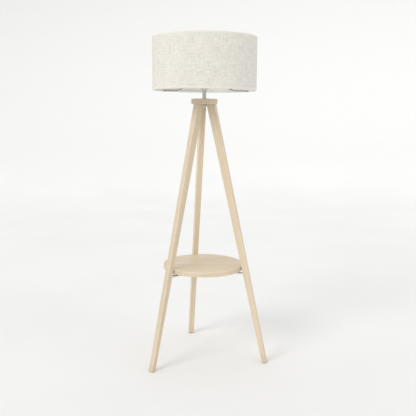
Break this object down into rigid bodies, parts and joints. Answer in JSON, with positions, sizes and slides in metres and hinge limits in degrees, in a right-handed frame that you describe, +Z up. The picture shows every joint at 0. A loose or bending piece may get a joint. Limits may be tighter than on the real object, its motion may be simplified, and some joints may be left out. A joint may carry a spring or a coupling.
{
  "type": "tripod floor lamp",
  "caption": "Tripod floor lamp: tapered wooden legs under a round hub disc, a round shelf on angle brackets, and a fabric drum shade on a lamp holder with a screw-in bulb.",
  "frame": {"origin": "on the floor, on the tripod's axis, which is also the axis of the shade, the shelf and the hub disc", "axes": "+Z up along the lamp's axis, -Y towards the front, where two of the legs stand, +X to the right seen from the front"},
  "size_m": [0.3982, 0.3988, 1.088],
  "materials": {
    "leg_wood": "oiled, satin",
    "disc_wood": "oiled, satin",
    "shelf_wood": "oiled, satin",
    "dowel_wood": "raw, fluted",
    "zinc_steel": "zinc plated",
    "satin_steel": "satin",
    "bracket_steel": "powder coated",
    "brass": "bare",
    "felt": "pressed felt",
    "rubber": "matt",
    "white_plastic": "gloss",
    "ceramic": "glazed",
    "bulb_metal": "bare",
    "bulb_insulator": "gloss",
    "bulb_housing": "satin",
    "opal_plastic": "opal",
    "led_board": "white solder mask",
    "shade_linen": "woven linen",
    "shade_liner": "matt film",
    "grey_wire": "powder coated"
  },
  "bodies": {
    "stand": {"leg_back": "leg_wood", "leg_front_left": "leg_wood", "leg_front_right": "leg_wood", "hub_disc": "disc_wood", "shelf": "shelf_wood", "hub_bolts": "zinc_steel", "leg_inserts": "brass", "leg_dowels": "dowel_wood", "foot_pads": "felt", "shelf_bracket_back": "bracket_steel", "shelf_bracket_front_left": "bracket_steel", "shelf_bracket_front_right": "bracket_steel", "bracket_leg_screws": "zinc_steel", "bracket_shelf_screws": "zinc_steel", "shelf_buffers": "rubber", "threaded_tube": "zinc_steel", "stem_sleeve": "satin_steel", "hub_washer": "zinc_steel", "hub_lock_nut": "zinc_steel", "cord_bushing": "white_plastic", "holder_cap": "white_plastic", "holder_body": "white_plastic", "contact_block": "ceramic", "terminal_screws": "brass", "centre_contact": "brass", "screw_shell": "brass"},
    "shade": {"shade_fabric": "shade_linen", "shade_liner": "shade_liner", "shade_bottom_ring": "grey_wire", "shade_top_ring": "grey_wire", "fitter_ring": "grey_wire", "spider_arm_left": "grey_wire", "spider_arm_right": "grey_wire", "spider_arm_front": "grey_wire"},
    "ring": {"retaining_ring": "white_plastic"},
    "bulb": {"bulb_screw_cap": "bulb_metal", "bulb_tip": "bulb_metal", "bulb_insulator": "bulb_insulator", "bulb_housing": "bulb_housing", "bulb_diffuser": "opal_plastic", "bulb_led_board": "led_board"}
  },
  "joints": [
    {"name": "shade_turn", "type": "hinge", "parent": "stand", "child": "shade", "pos_m": [0, 0, 0.9443], "axis": [0, 0, 1], "continuous": true},
    {"name": "ring_turn", "type": "hinge", "parent": "stand", "child": "ring", "pos_m": [0, 0, 0.9461], "axis": [0, 0, 1], "range_deg": [0, 360]},
    {"name": "bulb_turn", "type": "hinge", "parent": "stand", "child": "bulb", "pos_m": [0, 0, 0.95], "axis": [0, 0, 1], "range_deg": [0, 360]}
  ]
}
